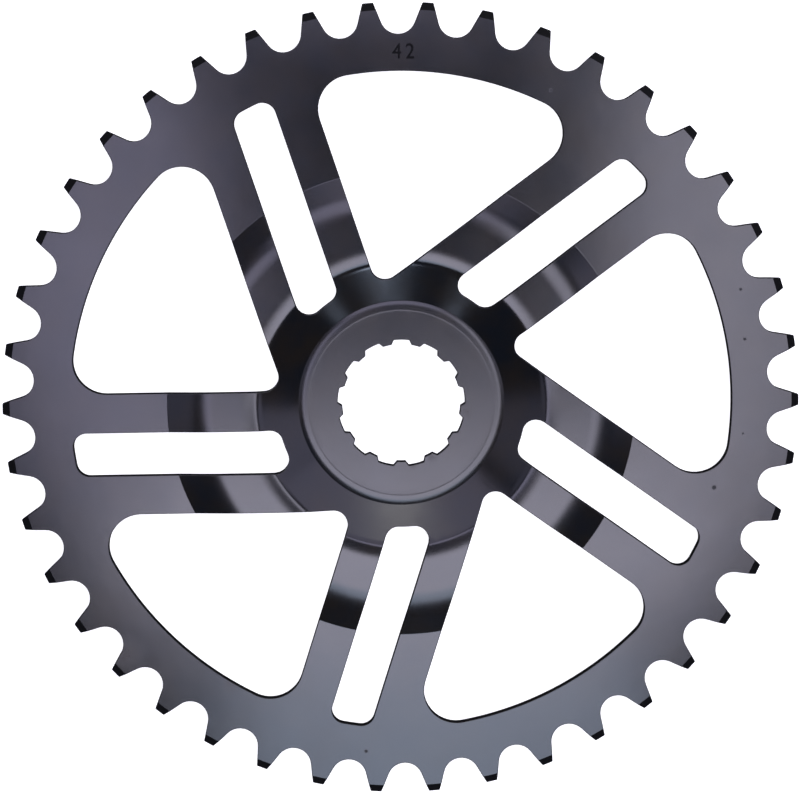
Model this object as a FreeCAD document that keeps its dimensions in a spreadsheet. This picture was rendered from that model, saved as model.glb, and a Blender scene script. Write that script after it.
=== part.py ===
"""Bicycle chainring pressed from one steel sheet: toothed rim, five pairs of dished arms, splined hub.

The ring lies on its hub's back face, front face up. Lengths are in millimetres and angles in degrees,
the Z axis is the axis that it turns about, and the angles of features are counted from +Y.
"""
import FreeCAD, Part
import Sketcher
import os
from math import asin, atan2, cos, degrees, hypot, radians, sin, sqrt

DIMENSIONS = [
    # Rim and teeth
    ("teeth", 42, "number of teeth"),
    ("chain_pitch", 12.7, "distance between the chain's rollers"),
    ("roller_seat", 3.95, "radius of the seat between two teeth"),
    ("flank_angle", 22, "angle of a tooth flank to the middle line of its gap"),
    ("tip_height", 2.93, "height of the tooth tips over the pitch circle"),
    ("tip_bevel_run", 1.7, "radial length of the bevels on a tooth tip"),
    ("tip_bevel_depth", 0.65, "depth of each of those bevels at the tip"),
    ("first_gap_turn", 0.65, "turn of the first tooth gap from +Y"),
    ("rim_width", 8.02, "width of the rim between the openings and the tooth seats"),
    # Pressed section
    ("sheet", 2.5, "thickness of the steel sheet"),
    ("ring_height", 2.5, "back face of the rim above the hub's back face"),
    ("valley_radius", 51.6, "crisp line where the flat rim ends"),
    ("arm_rise", 1.17, "front of the arms above the front of the rim"),
    ("dish_slope", 9.5, "slope from the crisp line up to the arms"),
    ("roll_radius", 31.5, "round between that slope and the level arms"),
    ("knee_at", 33.9, "radius where the arms start to bend down to the hub"),
    ("knee_radius", 8.5, "bend at that place, on the front"),
    # Hub
    ("hub_thickness", 2.5, "thickness of the hub disc"),
    ("disc_radius", 22.7, "radius of the raised disc at its foot"),
    ("disc_rise", 0.65, "step of the disc above the plate round it"),
    ("disc_bevel", 0.5, "radial length of the disc's slanted shoulder"),
    ("bore_radius", 13.1, "radius over the lands of the splined hole"),
    ("splines", 13, "number of grooves in the hole"),
    ("groove_depth", 1, "depth of a groove"),
    ("groove_width", 3.4, "width of a groove at its bottom"),
    ("groove_flank", 25, "angle of a groove's flank to its middle line"),
    ("groove_turn", 0, "turn of the first groove from +Y"),
    # Openings
    ("arm_pairs", 5, "number of arm pairs"),
    ("arm_turn", 18.9, "direction of the first pair, from +Y"),
    ("pair_offset", 10.14, "distance of a pair's middle line from the axis"),
    ("arm_width", 8.65, "width of one arm"),
    ("slot_width", 9.55, "width of the slot between the two arms of a pair"),
    ("slot_inner", 27.5, "radius of a slot's inner end"),
    ("slot_corner", 3, "corner radius of a slot"),
    ("window_corner", 7.3, "corner radius at a window's outer edge"),
    ("window_apex", 3.2, "corner radius at a window's inner end"),
    # Room for the cutting outlines outside the solid
    ("cut_clearance", 2, "overrun of a cut past the face it opens"),
]

START, END, CENTRE = range(1, 4)
ORIGIN = (-1, 1)
X_AXIS = -1
FULL_TURN = 360
LEAST_CUT = 1.0

# Radii of the rim, all tied to the chain
PITCH_RADIUS = "dims.chain_pitch / (2 * sin(180 deg / dims.teeth))"
TIP_RADIUS = f"{PITCH_RADIUS} + dims.tip_height"
RIM_INSIDE = f"{PITCH_RADIUS} - dims.roller_seat - dims.rim_width"


def add_dimensions(doc):
    """Put the driving dimensions into a sheet, one named cell each."""
    sheet = doc.addObject("Spreadsheet::Sheet", "dims")
    for row, (name, value, meaning) in enumerate(DIMENSIONS, start=1):
        sheet.set(f"A{row}", name)
        sheet.set(f"B{row}", str(value))
        sheet.set(f"C{row}", meaning)
        sheet.setAlias(f"B{row}", name)
    doc.recompute()
    return sheet


def origin_feature(body, role):
    return next(item for item in body.Origin.OriginFeatures if item.Role == role)


def new_sketch(body, name, role):
    sketch = body.newObject("Sketcher::SketchObject", name)
    sketch.AttachmentSupport = [(origin_feature(body, role), "")]
    sketch.MapMode = "FlatFace"
    return sketch


def turn_sketch(sketch, expression):
    """Turn a sketch on the ground plane, so that its own X direction points at a feature."""
    sketch.setExpression("AttachmentOffset.Rotation.Angle", expression)


def vec(x, y):
    return FreeCAD.Vector(x, y, 0)


def add_line(sketch, start, end):
    return sketch.addGeometry(Part.LineSegment(vec(*start), vec(*end)), False)


def add_arc(sketch, centre, start, end):
    """Add the shorter arc about centre between two points, and say which of its ends lies at start."""
    first = atan2(start[1] - centre[1], start[0] - centre[0])
    last = atan2(end[1] - centre[1], end[0] - centre[0])
    radius = hypot(start[0] - centre[0], start[1] - centre[1])
    forwards = sin(last - first) > 0
    if not forwards:
        first, last = last, first
    circle = Part.Circle(vec(*centre), FreeCAD.Vector(0, 0, 1), radius)
    arc = sketch.addGeometry(Part.ArcOfCircle(circle, first, last), False)
    return arc, (START if forwards else END), (END if forwards else START)


def add_chain(sketch, pieces):
    """Add a closed outline of ("line", start, end) and ("arc", start, end, centre) pieces.

    Returns each piece as (geometry, start vertex, end vertex).
    """
    chain = []
    for piece in pieces:
        if piece[0] == "line":
            chain.append((add_line(sketch, piece[1], piece[2]), START, END))
        else:
            chain.append(add_arc(sketch, piece[3], piece[1], piece[2]))
    return chain


def join(sketch, chain, smooth):
    """Join each piece to the next one; the joints listed in smooth are tangent."""
    for index, (piece, _, last) in enumerate(chain):
        following, first, _ = chain[(index + 1) % len(chain)]
        kind = "Tangent" if index in smooth else "Coincident"
        sketch.addConstraint(Sketcher.Constraint(kind, piece, last, following, first))


def drive(sketch, name, expression, kind, *where):
    """Add a dimension to a sketch and bind it to the sheet."""
    index = sketch.addConstraint(Sketcher.Constraint(kind, *where))
    sketch.renameConstraint(index, name)
    sketch.setExpression(f"Constraints.{name}", expression)


def polar(centre, radius, angle):
    """The point at a radius and an angle, counted from straight up towards -X."""
    return centre[0] - radius * sin(radians(angle)), centre[1] + radius * cos(radians(angle))


def rim_radii(d):
    """Radii of the pitch circle, of the tooth tips and of the rim's inner edge."""
    pitch_radius = d.chain_pitch / (2 * sin(radians(FULL_TURN / 2 / d.teeth)))
    return pitch_radius, pitch_radius + d.tip_height, pitch_radius - d.roller_seat - d.rim_width


def section_pieces(d):
    """Outline of the pressed section at +X, from the foot of the bore round by the front face."""
    ring_back = d.ring_height
    ring_front = ring_back + d.sheet
    arm_front = ring_front + d.arm_rise
    dish = radians(d.dish_slope)
    valley = (d.valley_radius, ring_front)
    roll_reach = (d.roll_radius - (d.roll_radius - d.arm_rise) * cos(dish)) / sin(dish)
    roll_centre = (d.valley_radius - roll_reach, arm_front - d.roll_radius)
    dish_end = polar(roll_centre, d.roll_radius, -d.dish_slope)
    arm_start = (roll_centre[0], arm_front)
    arm_end = (d.knee_at, arm_front)
    knee_centre = (d.knee_at, arm_front - d.knee_radius)

    # The plate's front runs from the foot of the disc and touches the knee
    foot = (d.disc_radius, d.hub_thickness - d.disc_rise)
    reach = hypot(knee_centre[0] - foot[0], knee_centre[1] - foot[1])
    sight = atan2(knee_centre[1] - foot[1], knee_centre[0] - foot[0])
    plate_angle = degrees(sight + asin(d.knee_radius / reach))
    face_end = (d.disc_radius - d.disc_bevel, d.hub_thickness)
    knee_end = polar(knee_centre, d.knee_radius, plate_angle)

    # The back follows the front at the sheet's thickness
    inner_roll = d.roll_radius - d.sheet
    inner_knee = d.knee_radius - d.sheet
    dish_back_end = polar(roll_centre, inner_roll, -d.dish_slope)
    valley_back = (dish_back_end[0] + (dish_back_end[1] - ring_back) * cos(dish) / sin(dish), ring_back)
    arm_back_start = polar(roll_centre, inner_roll, 0)
    arm_back_end = polar(knee_centre, inner_knee, 0)
    plate_back_start = polar(knee_centre, inner_knee, plate_angle)
    slope = radians(plate_angle)
    heel = (plate_back_start[0] - plate_back_start[1] * cos(slope) / sin(slope), 0)
    _, tip_radius, _ = rim_radii(d)
    bevel_at = tip_radius - d.tip_bevel_run
    return [
        ("line", (d.bore_radius, 0), (d.bore_radius, d.hub_thickness)),
        ("line", (d.bore_radius, d.hub_thickness), face_end),
        ("line", face_end, foot),
        ("line", foot, knee_end),
        ("arc", knee_end, arm_end, knee_centre),
        ("line", arm_end, arm_start),
        ("arc", arm_start, dish_end, roll_centre),
        ("line", dish_end, valley),
        ("line", valley, (bevel_at, ring_front)),
        ("line", (bevel_at, ring_front), (tip_radius, ring_front - d.tip_bevel_depth)),
        ("line", (tip_radius, ring_front - d.tip_bevel_depth), (tip_radius, ring_back + d.tip_bevel_depth)),
        ("line", (tip_radius, ring_back + d.tip_bevel_depth), (bevel_at, ring_back)),
        ("line", (bevel_at, ring_back), valley_back),
        ("line", valley_back, dish_back_end),
        ("arc", dish_back_end, arm_back_start, roll_centre),
        ("line", arm_back_start, arm_back_end),
        ("arc", arm_back_end, plate_back_start, knee_centre),
        ("line", plate_back_start, heel),
        ("line", heel, (d.bore_radius, 0)),
    ]


def add_section(body, d):
    """Turn the pressed section into the blank: hub disc, plate, arms' dish, flat rim and bevelled edge."""
    sketch = new_sketch(body, "pressed_section", "XZ_Plane")
    chain = add_chain(sketch, section_pieces(d))
    join(sketch, chain, smooth={3, 4, 5, 6, 13, 14, 15, 16})
    (bore, face, shoulder, plate, knee, arm, roll, dish, rim, bevel, edge, back_bevel, rim_back,
     dish_back, roll_back, _, knee_back, plate_back, hub_back) = chain

    def relate(kind, *where):
        sketch.addConstraint(Sketcher.Constraint(kind, *where))

    relate("Vertical", bore[0])
    relate("Horizontal", face[0])
    relate("Horizontal", arm[0])
    relate("Horizontal", rim[0])
    relate("Vertical", edge[0])
    relate("Horizontal", rim_back[0])
    relate("Horizontal", hub_back[0])
    relate("PointOnObject", bore[0], START, X_AXIS)
    relate("Parallel", plate_back[0], plate[0])
    relate("Parallel", dish_back[0], dish[0])
    relate("Coincident", roll_back[0], CENTRE, roll[0], CENTRE)
    relate("Coincident", knee_back[0], CENTRE, knee[0], CENTRE)
    relate("Vertical", bevel[0], START, back_bevel[0], END)

    drive(sketch, "bore_radius", "dims.bore_radius", "DistanceX", *ORIGIN, bore[0], START, d.bore_radius)
    drive(sketch, "hub_thickness", "dims.hub_thickness", "DistanceY", bore[0], START, bore[0], END,
          d.hub_thickness)
    drive(sketch, "disc_radius", "dims.disc_radius", "DistanceX", *ORIGIN, plate[0], START, d.disc_radius)
    drive(sketch, "disc_rise", "dims.disc_rise", "DistanceY", plate[0], START, face[0], END, d.disc_rise)
    drive(sketch, "disc_bevel", "dims.disc_bevel", "DistanceX", shoulder[0], START, shoulder[0], END,
          d.disc_bevel)
    drive(sketch, "knee_radius", "dims.knee_radius", "Radius", knee[0], d.knee_radius)
    drive(sketch, "knee_at", "dims.knee_at", "DistanceX", *ORIGIN, arm[0], START, d.knee_at)
    drive(sketch, "dish_slope", "-dims.dish_slope * 1 deg", "Angle", dish[0], -radians(d.dish_slope))
    drive(sketch, "roll_radius", "dims.roll_radius", "Radius", roll[0], d.roll_radius)
    drive(sketch, "arm_rise", "dims.arm_rise", "DistanceY", rim[0], START, arm[0], END, d.arm_rise)
    drive(sketch, "valley_radius", "dims.valley_radius", "DistanceX", *ORIGIN, rim[0], START, d.valley_radius)
    drive(sketch, "ring_height", "dims.ring_height", "DistanceY", *ORIGIN, rim_back[0], END, d.ring_height)
    drive(sketch, "sheet", "dims.sheet", "DistanceY", rim_back[0], START, rim[0], END, d.sheet)
    drive(sketch, "tip_radius", TIP_RADIUS, "DistanceX", *ORIGIN, edge[0], START, rim_radii(d)[1])
    drive(sketch, "tip_bevel_run", "dims.tip_bevel_run", "DistanceX", bevel[0], START, bevel[0], END,
          d.tip_bevel_run)
    drive(sketch, "front_bevel_depth", "dims.tip_bevel_depth", "DistanceY", bevel[0], END, bevel[0], START,
          d.tip_bevel_depth)
    drive(sketch, "back_bevel_depth", "dims.tip_bevel_depth", "DistanceY", back_bevel[0], END,
          back_bevel[0], START, d.tip_bevel_depth)
    drive(sketch, "inner_knee", "dims.knee_radius - dims.sheet", "Radius", knee_back[0],
          d.knee_radius - d.sheet)
    drive(sketch, "inner_roll", "dims.roll_radius - dims.sheet", "Radius", roll_back[0],
          d.roll_radius - d.sheet)

    blank = body.newObject("PartDesign::Revolution", "blank")
    blank.Profile = sketch
    blank.ReferenceAxis = (sketch, ["V_Axis"])
    blank.Angle = FULL_TURN
    return sketch, blank


def cut_through(body, sketch, name, copies):
    """Cut a sketch right through the ring and repeat the cut about the axis."""
    doc = body.Document
    doc.recompute()
    before = body.Shape.Volume
    pocket = body.newObject("PartDesign::Pocket", name)
    pocket.Profile = sketch
    pocket.Type = "ThroughAll"
    pocket.SideType = "Symmetric"
    doc.recompute()
    one_cut = before - pocket.Shape.Volume
    pattern = body.newObject("PartDesign::PolarPattern", f"{name}_all_round")
    pattern.Originals = [pocket]
    pattern.Axis = (origin_feature(body, "Z_Axis"), [""])
    pattern.Angle = FULL_TURN
    pattern.setExpression("Occurrences", copies)
    body.Tip = pattern
    doc.recompute()
    all_cuts = before - pattern.Shape.Volume
    if one_cut < LEAST_CUT or abs(all_cuts - pattern.Occurrences * one_cut) > LEAST_CUT:
        raise RuntimeError(f"{name} doesn't cut as it should: {one_cut:.2f} and {all_cuts:.2f} mm3")
    print(f"{name}: {pattern.Occurrences} cuts of {one_cut:.1f} mm3")


def add_tooth_gaps(body, d):
    """A roller seat with two straight flanks, repeated round the rim, leaves the teeth."""
    pitch_radius, tip_radius, _ = rim_radii(d)
    flank = radians(d.flank_angle)
    seat = (pitch_radius, 0)
    touch = (pitch_radius - d.roller_seat * sin(flank), d.roller_seat * cos(flank))
    open_at = tip_radius + d.cut_clearance
    mouth = (open_at, touch[1] + (open_at - touch[0]) * sin(flank) / cos(flank))
    root = (pitch_radius - d.roller_seat, 0)

    sketch = new_sketch(body, "tooth_gap_outline", "XY_Plane")
    turn_sketch(sketch, "90 deg + dims.first_gap_turn * 1 deg")
    chain = add_chain(sketch, [
        ("line", touch, mouth),
        ("line", mouth, (mouth[0], -mouth[1])),
        ("line", (mouth[0], -mouth[1]), (touch[0], -touch[1])),
        ("arc", (touch[0], -touch[1]), root, seat),
        ("arc", root, touch, seat),
    ])
    join(sketch, chain, smooth={2, 4})
    upper, opening, _, lower_seat, upper_seat = chain
    sketch.addConstraint(Sketcher.Constraint("Symmetric", opening[0], START, opening[0], END, X_AXIS))
    sketch.addConstraint(Sketcher.Constraint("PointOnObject", upper_seat[0], CENTRE, X_AXIS))
    sketch.addConstraint(Sketcher.Constraint("PointOnObject", upper_seat[0], upper_seat[1], X_AXIS))
    sketch.addConstraint(Sketcher.Constraint("Coincident", lower_seat[0], CENTRE, upper_seat[0], CENTRE))
    drive(sketch, "pitch_radius", PITCH_RADIUS, "DistanceX", *ORIGIN, upper_seat[0], CENTRE, pitch_radius)
    drive(sketch, "roller_seat", "dims.roller_seat", "Radius", upper_seat[0], d.roller_seat)
    drive(sketch, "flank_angle", "dims.flank_angle * 1 deg", "Angle", upper[0], flank)
    drive(sketch, "open_at", f"{TIP_RADIUS} + dims.cut_clearance", "DistanceX", *ORIGIN, opening[0], END,
          open_at)
    cut_through(body, sketch, "tooth_gap", "dims.teeth")


def add_splines(body, d):
    """Grooves with slanted flanks and round bottoms make the splined hole."""
    flank = radians(d.groove_flank)
    bottom_radius = d.bore_radius + d.groove_depth
    half = d.groove_width / 2
    corner = (sqrt(bottom_radius ** 2 - half ** 2), half)
    open_at = d.bore_radius - d.cut_clearance
    mouth = (open_at, half + (corner[0] - open_at) * sin(flank) / cos(flank))

    sketch = new_sketch(body, "spline_groove_outline", "XY_Plane")
    turn_sketch(sketch, "90 deg + dims.groove_turn * 1 deg")
    chain = add_chain(sketch, [
        ("line", mouth, (mouth[0], -mouth[1])),
        ("line", (mouth[0], -mouth[1]), (corner[0], -corner[1])),
        ("arc", (corner[0], -corner[1]), corner, (0, 0)),
        ("line", corner, mouth),
    ])
    join(sketch, chain, smooth=set())
    opening, lower, bottom, upper = chain
    sketch.addConstraint(Sketcher.Constraint("Coincident", bottom[0], CENTRE, *ORIGIN))
    sketch.addConstraint(Sketcher.Constraint("Symmetric", opening[0], START, opening[0], END, X_AXIS))
    sketch.addConstraint(Sketcher.Constraint("Vertical", lower[0], END, upper[0], START))
    drive(sketch, "bottom_radius", "dims.bore_radius + dims.groove_depth", "Radius", bottom[0], bottom_radius)
    drive(sketch, "groove_width", "dims.groove_width", "DistanceY", lower[0], END, upper[0], START,
          d.groove_width)
    drive(sketch, "groove_flank", "dims.groove_flank * 1 deg", "Angle", lower[0], flank)
    drive(sketch, "open_at", "dims.bore_radius - dims.cut_clearance", "DistanceX", *ORIGIN, opening[0], END,
          open_at)
    cut_through(body, sketch, "spline_groove", "dims.splines")


def inside_round(radius, corner, edge_y, side):
    """Corner between a straight edge along X and the arc about the axis that the opening lies within.

    side is 1 where the opening lies above the edge and -1 where it lies below it. Returns the corner's
    centre and the points where it touches the edge and the arc.
    """
    centre_y = edge_y + side * corner
    centre = (sqrt((radius - corner) ** 2 - centre_y ** 2), centre_y)
    stretch = radius / (radius - corner)
    return centre, (centre[0], edge_y), (centre[0] * stretch, centre[1] * stretch)


def turned(point, angle):
    c, s = cos(radians(angle)), sin(radians(angle))
    return point[0] * c - point[1] * s, point[0] * s + point[1] * c


def add_slots(body, d):
    """The slot between the two arms of a pair: parallel flanks and ends that follow the ring's curve."""
    low = d.pair_offset - d.slot_width / 2
    high = d.pair_offset + d.slot_width / 2
    corner = d.slot_corner
    _, _, rim_inside = rim_radii(d)
    # The inner end curves the other way, which a corner radius of the opposite sign describes
    low_in = inside_round(d.slot_inner, -corner, low, -1)
    high_in = inside_round(d.slot_inner, -corner, high, 1)
    low_out = inside_round(rim_inside, corner, low, 1)
    high_out = inside_round(rim_inside, corner, high, -1)

    sketch = new_sketch(body, "slot_outline", "XY_Plane")
    turn_sketch(sketch, "90 deg + dims.arm_turn * 1 deg")
    chain = add_chain(sketch, [
        ("line", low_in[1], low_out[1]),
        ("arc", low_out[1], low_out[2], low_out[0]),
        ("arc", low_out[2], high_out[2], (0, 0)),
        ("arc", high_out[2], high_out[1], high_out[0]),
        ("line", high_out[1], high_in[1]),
        ("arc", high_in[1], high_in[2], high_in[0]),
        ("arc", high_in[2], low_in[2], (0, 0)),
        ("arc", low_in[2], low_in[1], low_in[0]),
    ])
    join(sketch, chain, smooth=set(range(len(chain))))
    flank, outer_low, outer_end, outer_high, far_flank, inner_high, inner_end, inner_low = chain
    sketch.addConstraint(Sketcher.Constraint("Horizontal", flank[0]))
    sketch.addConstraint(Sketcher.Constraint("Horizontal", far_flank[0]))
    for end in (outer_end, inner_end):
        sketch.addConstraint(Sketcher.Constraint("Coincident", end[0], CENTRE, *ORIGIN))
    drive(sketch, "low_flank", "dims.pair_offset - dims.slot_width / 2", "DistanceY", *ORIGIN, flank[0], START,
          low)
    drive(sketch, "slot_width", "dims.slot_width", "DistanceY", flank[0], END, far_flank[0], START, d.slot_width)
    drive(sketch, "slot_inner", "dims.slot_inner", "Radius", inner_end[0], d.slot_inner)
    drive(sketch, "slot_outer", RIM_INSIDE, "Radius", outer_end[0], rim_inside)
    corners = [("outer_low", outer_low), ("outer_high", outer_high), ("inner_high", inner_high),
               ("inner_low", inner_low)]
    for name, arc in corners:
        drive(sketch, f"corner_{name}", "dims.slot_corner", "Radius", arc[0], corner)
    cut_through(body, sketch, "slot", "dims.arm_pairs")


def add_windows(body, d):
    """The three-sided window between one pair of arms and the next."""
    step = FULL_TURN / d.arm_pairs
    half_pair = d.slot_width / 2 + d.arm_width
    near = d.pair_offset + half_pair
    far = d.pair_offset - half_pair
    _, _, rim_inside = rim_radii(d)
    near_out = inside_round(rim_inside, d.window_corner, near, 1)
    far_out = [turned(p, step) for p in inside_round(rim_inside, d.window_corner, far, -1)]
    # The apex touches the near edge and the far edge, which is turned by one step
    apex_y = near + d.window_apex
    apex_x = (apex_y * cos(radians(step)) - (far - d.window_apex)) / sin(radians(step))
    apex = (apex_x, apex_y)
    apex_near = (apex_x, near)
    apex_far = (apex_x - d.window_apex * sin(radians(step)), apex_y + d.window_apex * cos(radians(step)))

    sketch = new_sketch(body, "window_outline", "XY_Plane")
    turn_sketch(sketch, "90 deg + dims.arm_turn * 1 deg")
    chain = add_chain(sketch, [
        ("line", apex_near, near_out[1]),
        ("arc", near_out[1], near_out[2], near_out[0]),
        ("arc", near_out[2], far_out[2], (0, 0)),
        ("arc", far_out[2], far_out[1], far_out[0]),
        ("line", far_out[1], apex_far),
        ("arc", apex_far, apex_near, apex),
    ])
    join(sketch, chain, smooth=set(range(len(chain))))
    near_edge, near_corner, outer_edge, far_corner, far_edge, apex_round = chain
    sketch.addConstraint(Sketcher.Constraint("Horizontal", near_edge[0]))
    sketch.addConstraint(Sketcher.Constraint("Coincident", outer_edge[0], CENTRE, *ORIGIN))
    pair_half = "(dims.slot_width / 2 + dims.arm_width)"
    drive(sketch, "near_edge", f"dims.pair_offset + {pair_half}", "DistanceY", *ORIGIN, near_edge[0], START,
          near)
    drive(sketch, "far_edge", f"abs(dims.pair_offset - {pair_half})", "Distance", *ORIGIN, far_edge[0],
          abs(far))
    drive(sketch, "step", "360 deg / dims.arm_pairs", "Angle", near_edge[0], START, far_edge[0], END,
          radians(step))
    drive(sketch, "outer_edge", RIM_INSIDE, "Radius", outer_edge[0], rim_inside)
    drive(sketch, "near_corner", "dims.window_corner", "Radius", near_corner[0], d.window_corner)
    drive(sketch, "far_corner", "dims.window_corner", "Radius", far_corner[0], d.window_corner)
    drive(sketch, "apex", "dims.window_apex", "Radius", apex_round[0], d.window_apex)
    cut_through(body, sketch, "window", "dims.arm_pairs")


def check(doc, body):
    """Stop if a feature failed, a sketch is loose or the solid isn't one whole piece."""
    for item in doc.Objects:
        if "Invalid" in item.State or "Error" in item.State:
            raise RuntimeError(f"{item.Label} failed: {item.State}")
        if item.TypeId == "Sketcher::SketchObject" and not item.FullyConstrained:
            raise RuntimeError(f"{item.Label} isn't fully constrained")
    shape = body.Shape
    if shape.isNull() or not shape.isValid() or len(shape.Solids) != 1:
        raise RuntimeError(f"{body.Label} isn't one valid solid")


def main():
    doc = FreeCAD.newDocument("bicycle_chainring")
    dims = add_dimensions(doc)
    ring = doc.addObject("PartDesign::Body", "chainring")
    ring.Label = "chainring"
    add_section(ring, dims)
    add_slots(ring, dims)
    add_windows(ring, dims)
    add_splines(ring, dims)
    add_tooth_gaps(ring, dims)
    doc.recompute()
    check(doc, ring)
    os.makedirs("parts", exist_ok=True)
    ring.Shape.exportStep(f"parts/{ring.Label}.step")
    box = ring.Shape.optimalBoundingBox()
    print(f"{ring.Label}: {box.XLength:.2f} x {box.YLength:.2f} x {box.ZLength:.2f} mm,",
          f"{ring.Shape.Volume / 1000:.2f} cm3, lowest at {box.ZMin:.3f}")


main()
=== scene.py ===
# %% [markdown]
# # A pressed steel chainring
#
# The ring was packed as one plain solid. This lesson gives it the surface that the eye expects: a
# mesh fine enough for soft reflections, small rounds on every cut edge, a faint bead on the hub disc,
# a stamped number, and a semi-gloss black coat. The solid is loaded first.

# %% Load the frame
from collections import namedtuple
from math import asin, atan2, cos, degrees, hypot, pi, radians, sin, sqrt, tan

import bmesh
import bpy
from mathutils import Matrix, Vector


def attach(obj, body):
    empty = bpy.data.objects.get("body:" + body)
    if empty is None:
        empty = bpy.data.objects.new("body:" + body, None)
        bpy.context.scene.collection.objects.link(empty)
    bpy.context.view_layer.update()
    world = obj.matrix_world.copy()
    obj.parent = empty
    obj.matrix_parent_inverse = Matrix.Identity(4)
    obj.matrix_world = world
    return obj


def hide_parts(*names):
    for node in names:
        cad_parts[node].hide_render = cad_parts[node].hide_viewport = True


MM = 0.001

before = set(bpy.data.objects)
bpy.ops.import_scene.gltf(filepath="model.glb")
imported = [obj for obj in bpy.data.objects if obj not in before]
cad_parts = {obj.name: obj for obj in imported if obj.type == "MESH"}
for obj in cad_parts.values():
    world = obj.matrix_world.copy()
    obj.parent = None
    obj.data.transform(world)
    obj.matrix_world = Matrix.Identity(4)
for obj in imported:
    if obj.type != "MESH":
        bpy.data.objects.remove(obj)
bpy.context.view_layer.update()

# %% [markdown]
# ## The sizes
#
# The mesh is drawn in millimetres, because that is how a maker reads a drawing, and scaled to metres
# at the very end. The teeth follow the chain's pitch, and the arms and openings are set out from the
# middle line of an arm pair, which misses the axis by a finger's width.

# %% Sizes in millimetres
FULL_TURN = 360.0

TEETH = 42
CHAIN_PITCH = 12.7
ROLLER_SEAT = 3.95
FLANK_ANGLE = 22.0
TIP_HEIGHT = 2.93
TIP_BEVEL_RUN = 1.7
TIP_BEVEL_DEPTH = 0.65
FIRST_GAP = 90.65
RIM_WIDTH = 8.02

PAIRS = 5
PAIR_STEP = FULL_TURN / PAIRS
FIRST_PAIR = 108.9
PAIR_OFFSET = 10.14
ARM_WIDTH = 8.65
SLOT_WIDTH = 9.55
SLOT_INNER = 27.5
SLOT_CORNER = 3.0
WINDOW_CORNER = 7.3
WINDOW_APEX = 3.2

SPLINES = 13
FIRST_SPLINE = 90.0
BORE_RADIUS = 13.1
GROOVE_DEPTH = 1.0
GROOVE_WIDTH = 3.4
GROOVE_FLANK = 25.0

PITCH_RADIUS = CHAIN_PITCH / (2 * sin(radians(FULL_TURN / 2 / TEETH)))
TIP_RADIUS = PITCH_RADIUS + TIP_HEIGHT
ROOT_RADIUS = PITCH_RADIUS - ROLLER_SEAT
RIM_INSIDE = ROOT_RADIUS - RIM_WIDTH
print(f"pitch circle {PITCH_RADIUS:.2f}, tips {TIP_RADIUS:.2f}, rim starts at {RIM_INSIDE:.2f} mm")

# %% [markdown]
# ## A pen that draws with spins
#
# The real ring is cut from flat sheet and then pressed, and the mesh is made in the same order. First
# the flat pattern is drawn as chains of edges. Blender's spin operator is the pen: one vertex that is
# spun about a centre leaves an arc, and one that is spun by no angle but with a shift leaves a
# straight run. The space between two chains is filled by bridging them, which gives clean four-sided
# faces.

# %% The pen
UP = (0, 0, 1)
AXIS = (0, 0)
SEAM = 0.01


def polar(radius, angle, centre=AXIS):
    """The point at a radius and an angle in degrees about a centre."""
    return centre[0] + radius * cos(radians(angle)), centre[1] + radius * sin(radians(angle))


def radius_of(point):
    return hypot(point[0], point[1])


def angle_of(point):
    return degrees(atan2(point[1], point[0]))


def draw(bm, start, *strokes):
    """Draw a chain of edges: a stroke is (steps, end) for a run or (steps, turn, centre) for an arc."""
    chain = [bm.verts.new((*start, 0))]
    for steps, *way in strokes:
        known = len(bm.verts)
        shift, turn, centre = (0, 0, 0), 0, AXIS
        if len(way) == 1:
            shift = (Vector((*way[0], 0)) - chain[-1].co) / steps
        else:
            turn, centre = way
        bmesh.ops.spin(bm, geom=[chain[-1]], cent=(*centre, 0), axis=UP, dvec=shift, angle=radians(turn),
                       steps=steps, use_merge=False, use_normal_flip=False, use_duplicate=False)
        bm.verts.ensure_lookup_table()
        chain += bm.verts[known:]
    return chain


def edges_along(chain):
    """The edges that join each vertex of a chain to the next one."""
    return [edge for a, b in zip(chain, chain[1:]) for edge in a.link_edges if edge.other_vert(a) == b]


def bridge(bm, one, other):
    """Fill the space between two chains with one face for each step, and return the edges across."""
    return bmesh.ops.bridge_loops(bm, edges=edges_along(one) + edges_along(other))["edges"]


def cut_columns(bm, row, across, columns):
    """Cut strips into columns, and move each vertex out onto its row's circle."""
    bmesh.ops.subdivide_edges(bm, edges=across, cuts=columns - 1, use_grid_fill=True)
    for vert in bm.verts:
        vert.co *= vert[row] / vert.co.length


def repeat(bm, copies):
    """Repeat everything drawn so far about the axis, and merge the seams."""
    everything = bm.verts[:] + bm.edges[:] + bm.faces[:]
    bmesh.ops.spin(bm, geom=everything, cent=(0, 0, 0), axis=UP, dvec=(0, 0, 0),
                   angle=radians(FULL_TURN * (copies - 1) / copies), steps=copies - 1, use_merge=False,
                   use_normal_flip=False, use_duplicate=True)
    bmesh.ops.remove_doubles(bm, verts=bm.verts[:], dist=SEAM)


def turn_all(bm, angle):
    bmesh.ops.rotate(bm, cent=(0, 0, 0), matrix=Matrix.Rotation(radians(angle), 3, "Z"), verts=bm.verts[:])


print("middle of the first tooth gap:", [round(value, 2) for value in polar(PITCH_RADIUS, FIRST_GAP)])


# %% [markdown]
# ## The flat pattern of one arm pair
#
# Each arm is a strip between two flanks. Its rows lie on circles about the axis, because the press
# bends the sheet along circles, and a bend that follows the rows stays smooth. Rows are dense where
# the sheet bends and sparse where it is flat. Round the ends of the openings, small patches join the
# outline to the hub circle and to the rim circle. Every vertex of a flank carries the radius of its
# row, so that the columns cut across a strip can be moved out onto the row's circle.

# %% Rows and columns
HUB_CIRCLE = 25.6
RIM_CIRCLE = 75.0
CROWN_AT = 35.5
VALLEY_RADIUS = 51.6
CREASE = 0.12
ROLL_FROM = 41.5
ROLL_TO = 47.7
ROLL_ROWS = 14

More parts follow.
